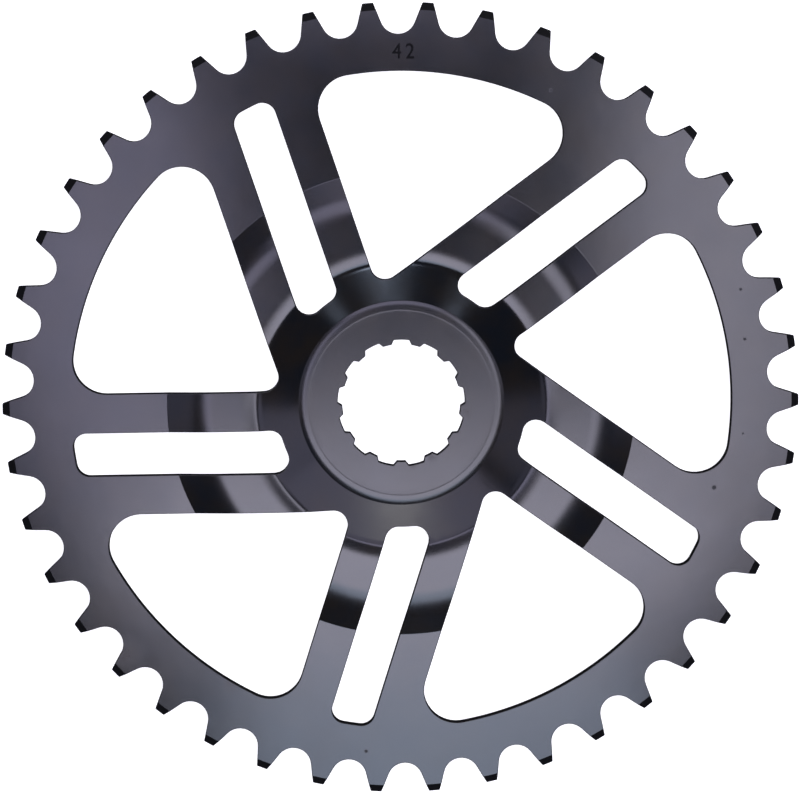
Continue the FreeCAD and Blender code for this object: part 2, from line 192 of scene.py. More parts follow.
LOW_FLANK = PAIR_OFFSET - SLOT_WIDTH / 2
HIGH_FLANK = PAIR_OFFSET + SLOT_WIDTH / 2
NEAR_FLANK = HIGH_FLANK + ARM_WIDTH
FAR_FLANK = LOW_FLANK - ARM_WIDTH

arm_rows = [CROWN_AT, 37, 39]
arm_rows += [ROLL_FROM + (ROLL_TO - ROLL_FROM) * i / ROLL_ROWS for i in range(ROLL_ROWS + 1)]
arm_rows += [49.6, VALLEY_RADIUS - CREASE, VALLEY_RADIUS, VALLEY_RADIUS + CREASE, 54, 58, 62]

ARM_COLUMNS = 22
SLOT_END_STEPS = (5, 5, 5)
APEX_STEPS = 6
WINDOW_STEPS = (12, 85, 12)
FOOT_STEPS = 14
FOOT_ARC_STEPS = 3
HEAD_STEPS = 3
HEAD_ARC_STEPS = 6
APEX_SPLIT = 24.0
print(len(arm_rows), "rows on a straight arm, from", arm_rows[0], "to", arm_rows[-1], "mm")

# %% Corners of the openings
Corner = namedtuple("Corner", "centre rounding flank_way arc_way split_way")


def corner_point(corner, way):
    return polar(corner.rounding, way, corner.centre)


def end_corner(flank, side, radius, rounding, outer):
    """Round between a flank along X and the arc that ends an opening; side 1 lies above the flank."""
    reach = radius - rounding if outer else radius + rounding
    y = flank + side * rounding
    centre = (sqrt(reach ** 2 - y ** 2), y)
    flank_way = -90 * side
    arc_way = angle_of(centre) - (0 if outer else 180 * side)
    return Corner(centre, rounding, flank_way, arc_way, (flank_way + arc_way) / 2)


def apex_corner(side):
    """The round at a window's inner end, seen from its near flank (side 1) or its far flank (side -1)."""
    step = radians(PAIR_STEP)
    y = NEAR_FLANK + WINDOW_APEX
    centre = ((y * cos(step) - FAR_FLANK + WINDOW_APEX) / sin(step), y)
    if side < 0:
        centre = polar(radius_of(centre), angle_of(centre) - PAIR_STEP)
    return Corner(centre, WINDOW_APEX, -90 * side, None, (-90 - APEX_SPLIT) * side)


slot_in = [end_corner(LOW_FLANK, 1, SLOT_INNER, SLOT_CORNER, False),
           end_corner(HIGH_FLANK, -1, SLOT_INNER, SLOT_CORNER, False)]
slot_out = [end_corner(LOW_FLANK, 1, RIM_INSIDE, SLOT_CORNER, True),
            end_corner(HIGH_FLANK, -1, RIM_INSIDE, SLOT_CORNER, True)]
window_out = [end_corner(NEAR_FLANK, 1, RIM_INSIDE, WINDOW_CORNER, True),
              end_corner(FAR_FLANK, -1, RIM_INSIDE, WINDOW_CORNER, True)]
apex = [apex_corner(1), apex_corner(-1)]
print("apex of a window lies at", round(radius_of(apex[0].centre) - WINDOW_APEX, 2), "mm from the axis")


# %% One arm pair
def onto_circle(point, radius):
    return polar(radius, angle_of(point))


def flank_chain(bm, row, flank, inner, outer):
    """One flank of an arm, drawn from the hub circle round both of its corners to the rim circle."""
    start = corner_point(inner, inner.split_way)
    end = corner_point(outer, outer.split_way)
    crown, *further = [(sqrt(radius ** 2 - flank ** 2), flank) for radius in arm_rows]
    chain = draw(
        bm, onto_circle(start, HUB_CIRCLE),
        (1, start),
        (FOOT_ARC_STEPS, inner.flank_way - inner.split_way, inner.centre),
        (FOOT_STEPS, crown),
        *[(1, point) for point in further],
        (HEAD_STEPS, corner_point(outer, outer.flank_way)),
        (HEAD_ARC_STEPS, outer.split_way - outer.flank_way, outer.centre),
        (1, onto_circle(end, RIM_CIRCLE)),
    )
    for vert in chain:
        vert[row] = radius_of(vert.co)
    return chain


def end_patch(bm, circle, first, last, steps, last_turn=0):
    """Join the end of an opening, from the split of its first corner to that of its last, to a circle."""
    start = corner_point(first, first.split_way)
    arc_turn = angle_of(last.centre) + last_turn - angle_of(first.centre)
    last_centre = polar(radius_of(last.centre), angle_of(last.centre) + last_turn)
    outline = draw(bm, start,
                   (steps[0], first.arc_way - first.split_way, first.centre),
                   (steps[1], arc_turn, AXIS),
                   (steps[2], last.split_way - last.arc_way, last_centre))
    end = outline[-1].co
    on_circle = draw(bm, onto_circle(start, circle), (sum(steps), angle_of(end) - angle_of(start), AXIS))
    bridge(bm, outline, on_circle)


def apex_patch(bm):
    start = corner_point(apex[0], apex[0].split_way)
    turn = apex[1].split_way + PAIR_STEP - (apex[0].split_way + FULL_TURN)
    outline = draw(bm, start, (APEX_STEPS, turn, apex[0].centre))
    end = outline[-1].co
    way_round = angle_of(end) - angle_of(start)
    on_circle = draw(bm, onto_circle(start, HUB_CIRCLE), (APEX_STEPS, way_round, AXIS))
    bridge(bm, outline, on_circle)


def arm_pair(bm):
    """Two arms with the slot between them and the edges of the window that follows."""
    row = bm.verts.layers.float.new("row")
    far = flank_chain(bm, row, FAR_FLANK, apex[1], window_out[1])
    low = flank_chain(bm, row, LOW_FLANK, slot_in[0], slot_out[0])
    high = flank_chain(bm, row, HIGH_FLANK, slot_in[1], slot_out[1])
    near = flank_chain(bm, row, NEAR_FLANK, apex[0], window_out[0])
    cut_columns(bm, row, bridge(bm, far, low) + bridge(bm, high, near), ARM_COLUMNS)
    end_patch(bm, HUB_CIRCLE, *slot_in, SLOT_END_STEPS)
    end_patch(bm, RIM_CIRCLE, *slot_out, SLOT_END_STEPS)
    end_patch(bm, RIM_CIRCLE, *window_out, WINDOW_STEPS, last_turn=PAIR_STEP)
    apex_patch(bm)


pattern = bmesh.new()
arm_pair(pattern)
turn_all(pattern, FIRST_PAIR)
repeat(pattern, PAIRS)
print("arms:", len(pattern.faces), "faces,",
      sum(len(face.verts) == 4 for face in pattern.faces), "with four sides")

# %% [markdown]
# ## Teeth, rim and hub in the flat
#
# A tooth is one more strip between two mirrored flanks, and the gap is one more patch that joins a
# roller seat to a circle. One tooth is drawn and repeated 42 times. The rim is the bridge between the
# arms' outer circle and the teeth's circle: both have 840 vertices. The hub is grown inwards from the
# arms' inner circle, ring by ring, and its last ring is bridged to the outline of the splined hole,
# where both have 325.

# %% One tooth and one gap
TEETH_CIRCLE = 79.5
SEAT_SPLIT = 135.0
SEAT_END = 90.0 + FLANK_ANGLE
GAP_STEPS = 8
SEAT_STEPS = 2
FLANK_STEPS = 2
BEVEL_STEPS = 2
TOOTH_COLUMNS = 12
TOOTH_STEP = FULL_TURN / TEETH
seat_centre = (PITCH_RADIUS, 0)


def flank_at(radius):
    """The point of a tooth's flank at a radius; the gap's middle line is the X axis."""
    touch = Vector(polar(ROLLER_SEAT, SEAT_END, seat_centre))
    along = Vector(polar(1, FLANK_ANGLE))
    way = touch.dot(along)
    return touch + along * (sqrt(way ** 2 - touch.length_squared + radius ** 2) - way)


def tooth_flank(bm, row, side):
    """One flank of a tooth, drawn on the gap's left (side 1) or right (side -1)."""
    def mirrored(point):
        return point[0], side * point[1]

    start = mirrored(polar(ROLLER_SEAT, SEAT_SPLIT, seat_centre))
    chain = draw(
        bm, onto_circle(start, TEETH_CIRCLE),
        (1, start),
        (SEAT_STEPS, side * (SEAT_END - SEAT_SPLIT), seat_centre),
        (FLANK_STEPS, mirrored(flank_at(TIP_RADIUS - TIP_BEVEL_RUN))),
        (BEVEL_STEPS, mirrored(flank_at(TIP_RADIUS))),
    )
    for vert in chain:
        vert[row] = radius_of(vert.co)
    return chain


teeth = bmesh.new()
tooth_row = teeth.verts.layers.float.new("row")
right = tooth_flank(teeth, tooth_row, 1)
left = tooth_flank(teeth, tooth_row, -1)
bmesh.ops.rotate(teeth, cent=(0, 0, 0), matrix=Matrix.Rotation(radians(TOOTH_STEP), 3, "Z"), verts=left)
cut_columns(teeth, tooth_row, bridge(teeth, right, left), TOOTH_COLUMNS)
seat_start = polar(ROLLER_SEAT, -SEAT_SPLIT, seat_centre)
seat = draw(teeth, seat_start, (GAP_STEPS, 2 * SEAT_SPLIT - FULL_TURN, seat_centre))
under_seat = draw(teeth, onto_circle(seat_start, TEETH_CIRCLE),
                  (GAP_STEPS, -2 * angle_of(seat_start), AXIS))
bridge(teeth, seat, under_seat)
turn_all(teeth, FIRST_GAP)
repeat(teeth, TEETH)
print("teeth:", len(teeth.faces), "faces")


# %% Bridge the teeth to the arms
LIFT = 1.0


def take_in(bm, other):
    """Move everything of another drawing into this one, lifted so that a bridge knows the way round."""
    bmesh.ops.translate(other, vec=(0, 0, LIFT), verts=other.verts[:])
    sheet = bpy.data.meshes.new("flat")
    other.to_mesh(sheet)
    bm.from_mesh(sheet)
    bpy.data.meshes.remove(sheet)
    other.free()


def on_row(edge, radius):
    return all(abs(radius_of(vert.co) - radius) < SEAM for vert in edge.verts)


def circle_edges(bm, radius):
    """The open edges that lie on a circle about the axis."""
    return [edge for edge in bm.edges if edge.is_boundary and on_row(edge, radius)]


take_in(pattern, teeth)
arms_circle = circle_edges(pattern, RIM_CIRCLE)
teeth_circle = circle_edges(pattern, TEETH_CIRCLE)
bmesh.ops.bridge_loops(pattern, edges=arms_circle + teeth_circle)
print("rim bridged:", len(arms_circle), "to", len(teeth_circle), "edges")

# %% [markdown]
# ## The press
#
# The section through the ring is the same all the way round, apart from the holes. A flat hub disc
# lies lowest, with a faint bead and a soft crown at its edge. A cone lifts the sheet off it, a tight
# knee and a long crown turn the cone into the level arms, and a soft roll and a straight slope bring
# them down to the flat rim in one crisp line. On a glossy sheet the eye reads these bends in the
# reflections long before it sees them in the outline, so their radii matter. Two functions give the
# height of the front and of the back at any radius, and they are the press tool: each vertex is moved
# up to them.

# %% Heights of the front and the back
SHEET = 2.5
RING_HEIGHT = 2.5
HUB_THICKNESS = 2.5
ARM_RISE = 1.17
DISH_SLOPE = 9.5
ROLL_RADIUS = 37.0
CROWN_RADIUS = 29.5
KNEE_FROM = 32.2
KNEE_RADIUS = 4.8
DISC_RADIUS = 22.8
DISC_STEP = 0.04
DISC_RISE = 0.24
DISC_CROWN_FROM = 21.2
DISC_CROWN_RADIUS = 8.6
BEAD_AT = 20.8
BEAD_HALF = 0.38
BEAD_HEIGHT = 0.009


def lean(point, length, angle):
    """The point at a length from another, straight up for an angle of 0 and towards the axis for more."""
    return point[0] - length * sin(radians(angle)), point[1] + length * cos(radians(angle))


def bow(centre, radius, r):
    """Height of the upper side of a circle over a radius r."""
    return centre[1] + sqrt(radius ** 2 - (r - centre[0]) ** 2)


rim_front = RING_HEIGHT + SHEET
arm_front = rim_front + ARM_RISE
dish_slope = tan(radians(DISH_SLOPE))
roll_reach = (ROLL_RADIUS - (ROLL_RADIUS - ARM_RISE) * cos(radians(DISH_SLOPE))) / sin(radians(DISH_SLOPE))
roll_centre = (VALLEY_RADIUS - roll_reach, arm_front - ROLL_RADIUS)
dish_end = lean(roll_centre, ROLL_RADIUS, -DISH_SLOPE)
dish_back_end = lean(roll_centre, ROLL_RADIUS - SHEET, -DISH_SLOPE)
crown_centre = (CROWN_AT, arm_front - CROWN_RADIUS)
crown_lean = degrees(asin((CROWN_AT - KNEE_FROM) / CROWN_RADIUS))
crown_back_end = lean(crown_centre, CROWN_RADIUS - SHEET, crown_lean)
knee_centre = lean(crown_centre, CROWN_RADIUS - KNEE_RADIUS, crown_lean)
foot = (DISC_RADIUS, HUB_THICKNESS - DISC_RISE)
run, climb = knee_centre[0] - foot[0], knee_centre[1] - foot[1]
plate_angle = degrees(atan2(climb, run) + asin(KNEE_RADIUS / hypot(run, climb)))
plate_slope = tan(radians(plate_angle))
knee_end = lean(knee_centre, KNEE_RADIUS, plate_angle)
plate_back_end = lean(knee_centre, KNEE_RADIUS - SHEET, plate_angle)
heel = plate_back_end[0] - plate_back_end[1] / plate_slope
step_top = DISC_RADIUS - DISC_STEP
bevel_start = TIP_RADIUS - TIP_BEVEL_RUN
print(f"cone {plate_angle:.2f} degrees, heel at {heel:.2f}, knee from {knee_end[0]:.2f} mm")


# %% The press tool
def tip_bevel(r):
    return max(0, r - bevel_start) * TIP_BEVEL_DEPTH / TIP_BEVEL_RUN


def disc_height(r):
    """The hub disc: flat, with a faint bead, then crowned towards its edge."""
    crown = max(0, r - DISC_CROWN_FROM) ** 2 / (2 * DISC_CROWN_RADIUS)
    off_bead = min(1, abs(r - BEAD_AT) / BEAD_HALF)
    return HUB_THICKNESS - crown + BEAD_HEIGHT * (1 + cos(pi * off_bead)) / 2


def front(r):
    if r < step_top + SEAM:
        return disc_height(r)
    if r < knee_end[0]:
        return foot[1] + (r - foot[0]) * plate_slope
    if r < KNEE_FROM:
        return bow(knee_centre, KNEE_RADIUS, r)
    if r < CROWN_AT:
        return bow(crown_centre, CROWN_RADIUS, r)
    if r < roll_centre[0]:
        return arm_front
    if r < dish_end[0]:
        return bow(roll_centre, ROLL_RADIUS, r)
    if r < VALLEY_RADIUS:
        return rim_front + (VALLEY_RADIUS - r) * dish_slope
    return rim_front - tip_bevel(r)


def back(r):
    if r < heel:
        return 0
    if r < plate_back_end[0]:
        return (r - heel) * plate_slope
    if r < crown_back_end[0]:
        return bow(knee_centre, KNEE_RADIUS - SHEET, r)
    if r < CROWN_AT:
        return bow(crown_centre, CROWN_RADIUS - SHEET, r)
    if r < roll_centre[0]:
        return arm_front - SHEET
    if r < dish_back_end[0]:
        return bow(roll_centre, ROLL_RADIUS - SHEET, r)
    if r < VALLEY_RADIUS:
        return max(RING_HEIGHT, dish_back_end[1] - (r - dish_back_end[0]) * dish_slope)
    return RING_HEIGHT + tip_bevel(r)


print(f"front: hub {front(0):.2f}, arms {front(CROWN_AT):.2f}, rim {front(RIM_CIRCLE):.2f},",
      f"tips {front(TIP_RADIUS):.2f} mm high")


# %% [markdown]
# ## The hub and the splined hole
#
# The hub needs rings of its own wherever its section changes: at the heel of the cone, at the step of
# the disc, along its crown and over the bead. Each ring is an extrusion of the edge before it, moved
# in to its radius. The splined hole is drawn as one groove between two half lands and repeated 13
# times. The innermost rings are turned, a little more each, onto the angles of the hole's vertices,
# so that the last bridge has no slanted faces.

# %% Grow the hub
crown_rows = [22.45, 22.25, 22.05, 21.85, 21.65]
bead_rows = [BEAD_AT + BEAD_HALF * share for share in (1, 0.75, 0.5, 0.25, 0, -0.25, -0.5, -0.75, -1)]
inner_rows = [19.2, 17.4, 15.9, 14.9]
PLATE_ROW = 23.3
hub_rows = [heel, PLATE_ROW, DISC_RADIUS + CREASE, DISC_RADIUS, step_top]
hub_rows += crown_rows + bead_rows + inner_rows

open_edge = circle_edges(pattern, HUB_CIRCLE)
for radius in hub_rows:
    grown = bmesh.ops.extrude_edge_only(pattern, edges=open_edge)["geom"]
    open_edge = [part for part in grown if isinstance(part, bmesh.types.BMEdge)]
    for vert in [part for part in grown if isinstance(part, bmesh.types.BMVert)]:
        vert.co *= radius / vert.co.length
print("hub:", len(hub_rows), "rings of", len(open_edge), "edges")

# %% Draw the splined hole
LAND_STEPS = 6
GROOVE_FLANK_STEPS = 1
GROOVE_STEPS = 11
spline_step = FULL_TURN / SPLINES
groove_radius = BORE_RADIUS + GROOVE_DEPTH
groove_half = GROOVE_WIDTH / 2
groove_corner = Vector((sqrt(groove_radius ** 2 - groove_half ** 2), groove_half))
flank_way = Vector(polar(1, 180 - GROOVE_FLANK))
back_way = groove_corner.dot(flank_way)
flank_length = -back_way - sqrt(back_way ** 2 - groove_radius ** 2 + BORE_RADIUS ** 2)
land_corner = groove_corner + flank_way * flank_length
land_half = spline_step / 2 - angle_of(land_corner)


def line_up(bm, rows, edges):
    """Turn the vertices of the rows, step by step, onto the angles of the hole's vertices."""
    goal = sorted(angle_of(vert.co) for vert in {vert for edge in edges for vert in edge.verts})
    largest = 0
    for step, radius in enumerate(rows, 1):
        on_circle = [vert for vert in bm.verts if abs(radius_of(vert.co) - radius) < SEAM]
        on_circle.sort(key=lambda vert: angle_of(vert.co))
        gaps = [(new - angle_of(vert.co)) * step / len(rows) for vert, new in zip(on_circle, goal)]
        for vert, gap in zip(on_circle, gaps):
            vert.co.x, vert.co.y = polar(radius, angle_of(vert.co) + gap)
        largest = max(largest, *map(abs, gaps))
    return largest


splines = bmesh.new()
draw(splines, polar(BORE_RADIUS, -spline_step / 2),
     (LAND_STEPS, land_half, AXIS),
     (GROOVE_FLANK_STEPS, (groove_corner.x, -groove_half)),
     (GROOVE_STEPS, 2 * angle_of(groove_corner), AXIS),
     (GROOVE_FLANK_STEPS, land_corner),
     (LAND_STEPS, land_half, AXIS))
turn_all(splines, FIRST_SPLINE)
repeat(splines, SPLINES)
take_in(pattern, splines)
hole_edge = [edge for edge in pattern.edges if edge.is_wire]
print("largest turn of a hub row:", round(line_up(pattern, inner_rows, hole_edge), 2), "degrees")
bmesh.ops.bridge_loops(pattern, edges=circle_edges(pattern, inner_rows[-1]) + hole_edge)
print("splined hole:", len(hole_edge), "edges; open edges of the sheet are",
      sum(edge.is_boundary for edge in pattern.edges))

# %% [markdown]
# ## From flat pattern to pressed ring
#
# One extrusion of every face gives the pattern its second side and the walls of all its holes. The
# old vertices then become the back and the new ones the front.

# %% Press the sheet
MM3_IN_CM3 = 1000


def face_outwards(bm):
    """Turn all faces the same way, and outwards: a solid that is inside out has a negative volume."""
    bmesh.ops.recalc_face_normals(bm, faces=bm.faces[:])
    if bm.calc_volume(signed=True) < 0:
        bmesh.ops.reverse_faces(bm, faces=bm.faces[:])


pressed = bmesh.ops.extrude_face_region(pattern, geom=pattern.faces[:], use_keep_orig=True)["geom"]
front_verts = {part for part in pressed if isinstance(part, bmesh.types.BMVert)}
for vert in pattern.verts:
    height = front if vert in front_verts else back
    vert.co.z = height(radius_of(vert.co))
face_outwards(pattern)
pattern.normal_update()
print("pressed ring:", len(pattern.faces), "faces,", f"{pattern.calc_volume() / MM3_IN_CM3:.2f} cm3,",
      sum(not edge.is_manifold for edge in pattern.edges), "open edges")

# %% [markdown]
# ## Edges that catch the light
#
# No punched and coated edge is a knife edge. Every edge between a wall and a face gets a small round,
# and so do the corners of the tooth tips. The round is small, but it draws the thin lines along the
# holes and teeth. The borders of the rounds are marked sharp, so that a round can't bend the light on
# the flat face beside it.

# %% Round the cut edges
EDGE_ROUND = 0.14
EDGE_SEGMENTS = 3
WALL_LIMIT = 0.3
TIP_CORNER_ANGLE = 40.0


def is_wall(face):
    return abs(face.normal.z) < WALL_LIMIT


def is_cut_edge(edge):
    walls = sum(is_wall(face) for face in edge.link_faces)
    at_tip = all(radius_of(vert.co) > TIP_RADIUS - SEAM for vert in edge.verts)
    return walls == 1 or (walls == 2 and at_tip and degrees(edge.calc_face_angle()) > TIP_CORNER_ANGLE)


cut_edges = [edge for edge in pattern.edges if is_cut_edge(edge)]
rounds = bmesh.ops.bevel(pattern, geom=cut_edges, offset=EDGE_ROUND, offset_type="OFFSET", affect="EDGES",
                         segments=EDGE_SEGMENTS, profile=0.5, material=-1, clamp_overlap=False)["faces"]
face_outwards(pattern)
round_faces = set(rounds)
for edge in {edge for face in rounds for edge in face.edges}:
    edge.smooth = sum(face in round_faces for face in edge.link_faces) != 1
triangles = sum(len(face.verts) - 2 for face in pattern.faces)
print("rounded", len(cut_edges), "edges:", triangles, "triangles,",
      sum(not edge.is_manifold for edge in pattern.edges), "open edges")

# %% [markdown]
# ## The stamped number
#
# The number of teeth is struck into the rim with number punches, which leave narrow dark grooves. A
# text object gives the outline of the digits. It is made a mesh and fitted to its place on the rim,
# and one extrusion turns it into a punch. A Boolean modifier takes the punch out of the ring, and the
# result becomes the ring's own mesh.

# %% The number as a punch
NUMBER_AT = (0.18, 77.32)
NUMBER_WIDTH = 4.8
NUMBER_HEIGHT = 3.3
NUMBER_DEPTH = 0.25
DIGIT_SPACING = 1.35
DIGIT_BOLDNESS = 0.006


def evaluated_mesh(made):
    """The mesh that an object shows once its text or its modifiers are worked out."""
    return bpy.data.meshes.new_from_object(made.evaluated_get(bpy.context.evaluated_depsgraph_get()))


def as_object(bm, name):
    """Turn a drawing into an object of the scene."""
    mesh = bpy.data.meshes.new(name)
    bm.to_mesh(mesh)
    bm.free()
    made = bpy.data.objects.new(name, mesh)
    bpy.context.scene.collection.objects.link(made)
    return made


writing = bpy.data.curves.new("number", "FONT")
writing.body = str(TEETH)
writing.space_character = DIGIT_SPACING
writing.offset = DIGIT_BOLDNESS
lettering = bpy.data.objects.new("number", writing)
bpy.context.scene.collection.objects.link(lettering)
digits = bmesh.new()
digits.from_mesh(evaluated_mesh(lettering))
bpy.data.objects.remove(lettering)

across = [vert.co.x for vert in digits.verts]
up = [vert.co.y for vert in digits.verts]
middle = Vector((min(across) + max(across), min(up) + max(up), 0)) / 2
stretch = (NUMBER_WIDTH / (max(across) - min(across)), NUMBER_HEIGHT / (max(up) - min(up)), 1)
bmesh.ops.translate(digits, vec=-middle, verts=digits.verts[:])
bmesh.ops.scale(digits, vec=stretch, verts=digits.verts[:])
bmesh.ops.translate(digits, vec=(*NUMBER_AT, rim_front - NUMBER_DEPTH), verts=digits.verts[:])
raised = bmesh.ops.extrude_face_region(digits, geom=digits.faces[:], use_keep_orig=True)["geom"]
raised_verts = [part for part in raised if isinstance(part, bmesh.types.BMVert)]
bmesh.ops.translate(digits, vec=(0, 0, 2 * NUMBER_DEPTH), verts=raised_verts)
face_outwards(digits)
print("number punch:", len(digits.faces), "faces,",
      sum(not edge.is_manifold for edge in digits.edges), "open edges")

# %% Strike the number
pattern.verts.layers.float.remove(pattern.verts.layers.float["row"])
ring = as_object(pattern, "pressed_ring")
punch = as_object(digits, "number_punch")
strike = ring.modifiers.new("strike", "BOOLEAN")
strike.operation = "DIFFERENCE"
strike.solver = "MANIFOLD"
strike.object = punch
ring.data = evaluated_mesh(ring)
ring.modifiers.remove(strike)
bpy.data.objects.remove(punch)
ring.data.materials.clear()
print("struck ring:", len(ring.data.polygons), "faces")

# %% [markdown]
# ## Smooth faces and crisp lines
#
# In a glossy coat every flat facet would show, so all faces are shaded smooth. Smoothing alone would
# smear the light over the creases of the press and the walls of the number, so those edges are marked
# sharp. The weighted normal modifier then lets the large faces decide, and the tiny ones beside them
# follow.

# %% Shade and scale the ring
SHARP_ANGLE = 60.0
FACE_WEIGHT = 100
SMALL_FACE = 0.05 * MM * MM
sharp_rows = (bevel_start, step_top, foot[0], heel)

struck = bmesh.new()
struck.from_mesh(ring.data)
for edge in struck.edges:
    on_crease = any(on_row(edge, radius) for radius in sharp_rows)
    if on_crease or degrees(edge.calc_face_angle(0)) > SHARP_ANGLE:
        edge.smooth = False
for face in struck.faces:
    face.smooth = True
print("finished ring:", sum(len(face.verts) - 2 for face in struck.faces), "triangles,",
      sum(not edge.is_manifold for edge in struck.edges), "open edges")
bmesh.ops.scale(struck, vec=(MM, MM, MM), verts=struck.verts[:])
struck.to_mesh(ring.data)
struck.free()
even_shade = ring.modifiers.new("even_shade", "WEIGHTED_NORMAL")
even_shade.keep_sharp = True
even_shade.weight = FACE_WEIGHT
even_shade.thresh = SMALL_FACE
print(ring.name, [round(side / MM, 2) for side in ring.dimensions])

# %% [markdown]
# ## The coat
#
# The ring is dipped and baked, which leaves a thin semi-gloss black coat. It is never quite even: the
# gloss and the tint drift a little from place to place, and handling leaves faint brown smudges and a
# few tiny pits. Noise on object coordinates gives the drift, and each mark is a soft spot round a
# point on the ring, with its rim frayed by another noise. The hub disc has the same coat with less
# gloss. The cut walls and the bevels of the teeth took less coat and are dull and deep black, so they
# have a material of their own.

# %% Marks on the coat
Mark = namedtuple("Mark", "x y z size strength")
smudges = [
    Mark(-61.0, -55.8, 5.0, 5.0, 0.9),
    Mark(-44.8, -52.9, 5.0, 3.0, 0.6),
    Mark(-38.2, -63.0, 5.0, 2.4, 0.6),
    Mark(14.6, -2.0, 2.5, 1.8, 0.8),
    Mark(2.6, -13.9, 2.5, 1.4, 0.7),
    Mark(6.9, -12.1, 2.5, 1.4, 0.7),
]
pits = [
    Mark(74.5, 25.5, 5.0, 0.5, 0.8),
    Mark(75.6, 14.5, 5.0, 0.5, 0.9),
    Mark(75.6, -6.5, 5.0, 0.4, 0.6),
    Mark(69.4, -18.6, 5.0, 0.7, 1.0),
    Mark(42.9, 51.2, 5.0, 0.5, 0.8),
    Mark(47.9, 53.8, 5.0, 0.5, 0.8),
    Mark(53.0, 48.3, 5.0, 0.5, 0.8),
    Mark(-7.8, -78.3, 5.0, 0.6, 0.8),
    Mark(32.3, 68.9, 5.0, 0.6, 0.8),
]
print("marks:", len(smudges), "smudges and", len(pits), "pits")

# %% Tools for materials
NOISE_LOW = 0.35
NOISE_HIGH = 0.65


def add_node(tree, kind, inputs, **settings):
    """Add a node, set its options, and give each input a constant or a link."""
    made = tree.nodes.new(kind)
    for name, value in settings.items():
        setattr(made, name, value)
    for name, value in inputs.items():
        if isinstance(value, bpy.types.NodeSocket):
            tree.links.new(value, made.inputs[name])
        else:
            made.inputs[name].default_value = value
    return made


def noise(tree, place, scale, detail):
    return add_node(tree, "ShaderNodeTexNoise", {"Vector": place, "Scale": scale, "Detail": detail})


def spread(tree, value, low, high):
    """Stretch the middle part of a noise over the values from low to high."""
    stretch = {"Value": value, "From Min": NOISE_LOW, "From Max": NOISE_HIGH, "To Min": low, "To Max": high}
    return add_node(tree, "ShaderNodeMapRange", stretch).outputs["Result"]


def mix(tree, share, one, other):
    mixer = add_node(tree, "ShaderNodeMixRGB", {"Fac": share, "Color1": one, "Color2": other})
    return mixer.outputs["Color"]


def spots(tree, place, marks):
    """A mask that is strongest at each mark and fades out at the mark's size."""
    mask = 0
    for mark in marks:
        centre = Vector((mark.x, mark.y, mark.z)) * MM
        away = add_node(tree, "ShaderNodeVectorMath", {0: place, 1: centre},
                        operation="DISTANCE").outputs["Value"]
        spot = add_node(tree, "ShaderNodeMapRange",
                        {"Value": away, "From Min": mark.size * MM, "From Max": 0, "To Max": mark.strength},
                        interpolation_type="SMOOTHSTEP").outputs["Result"]
        mask = add_node(tree, "ShaderNodeMath", {0: spot, 1: mask}, operation="MAXIMUM").outputs["Value"]
    return mask


# %% The black coat
CLOUD_SCALE, CLOUD_DETAIL = 70, 3
TINT_SCALE, TINT_DETAIL = 130, 4
FRAY_SCALE, FRAY_DETAIL = 600, 3
PEEL_SCALE, PEEL_DETAIL = 220, 2
NOISE_MIDDLE = 0.5
FRAY = 2.4 * MM
PEEL_HEIGHT = 0.006 * MM
COOL_BLACK = (0.0035, 0.005, 0.008, 1)
WARM_BLACK = (0.009, 0.0072, 0.006, 1)
SMUDGE_BROWN = (0.02, 0.014, 0.009, 1)
PIT_BLACK = (0.002, 0.002, 0.002, 1)
GLOSSIEST = 0.138
DULLEST = 0.16
DISC_GLOSSIEST = 0.17
DISC_DULLEST = 0.19
SMUDGE_ROUGHNESS = 0.3
PIT_ROUGHNESS = 0.6


def black_coat(name, glossiest, dullest):
    """A thin black coat, with marks, whose roughness drifts between two values."""
    coat = bpy.data.materials.new(name)
    coat.use_nodes = True
    tree = coat.node_tree
    shader = tree.nodes["Principled BSDF"]
    place = add_node(tree, "ShaderNodeTexCoord", {}).outputs["Object"]

    frays = noise(tree, place, FRAY_SCALE, FRAY_DETAIL).outputs["Color"]
    shift = add_node(tree, "ShaderNodeVectorMath", {0: frays, 1: (NOISE_MIDDLE,) * 3},
                     operation="SUBTRACT").outputs["Vector"]
    frayed = add_node(tree, "ShaderNodeVectorMath", {0: shift, 1: (FRAY,) * 3, 2: place},
                      operation="MULTIPLY_ADD").outputs["Vector"]
    smudge_mask = spots(tree, frayed, smudges)
    pit_mask = spots(tree, place, pits)

    tint = spread(tree, noise(tree, place, TINT_SCALE, TINT_DETAIL).outputs["Fac"], 0, 1)
    colour = mix(tree, tint, COOL_BLACK, WARM_BLACK)
    colour = mix(tree, smudge_mask, colour, SMUDGE_BROWN)
    colour = mix(tree, pit_mask, colour, PIT_BLACK)
    tree.links.new(colour, shader.inputs["Base Color"])

    gloss = spread(tree, noise(tree, place, CLOUD_SCALE, CLOUD_DETAIL).outputs["Fac"], glossiest, dullest)
    gloss = mix(tree, smudge_mask, gloss, (SMUDGE_ROUGHNESS,) * 3 + (1,))
    gloss = mix(tree, pit_mask, gloss, (PIT_ROUGHNESS,) * 3 + (1,))
    tree.links.new(gloss, shader.inputs["Roughness"])

    peel = noise(tree, place, PEEL_SCALE, PEEL_DETAIL).outputs["Fac"]
    bump = add_node(tree, "ShaderNodeBump", {"Height": peel, "Distance": PEEL_HEIGHT})
    tree.links.new(bump.outputs["Normal"], shader.inputs["Normal"])
    print(name, "has", len(tree.nodes), "nodes")
    return coat


ring.data.materials.append(black_coat("black_steel", GLOSSIEST, DULLEST))
ring.data.materials.append(black_coat("matte_disc", DISC_GLOSSIEST, DISC_DULLEST))

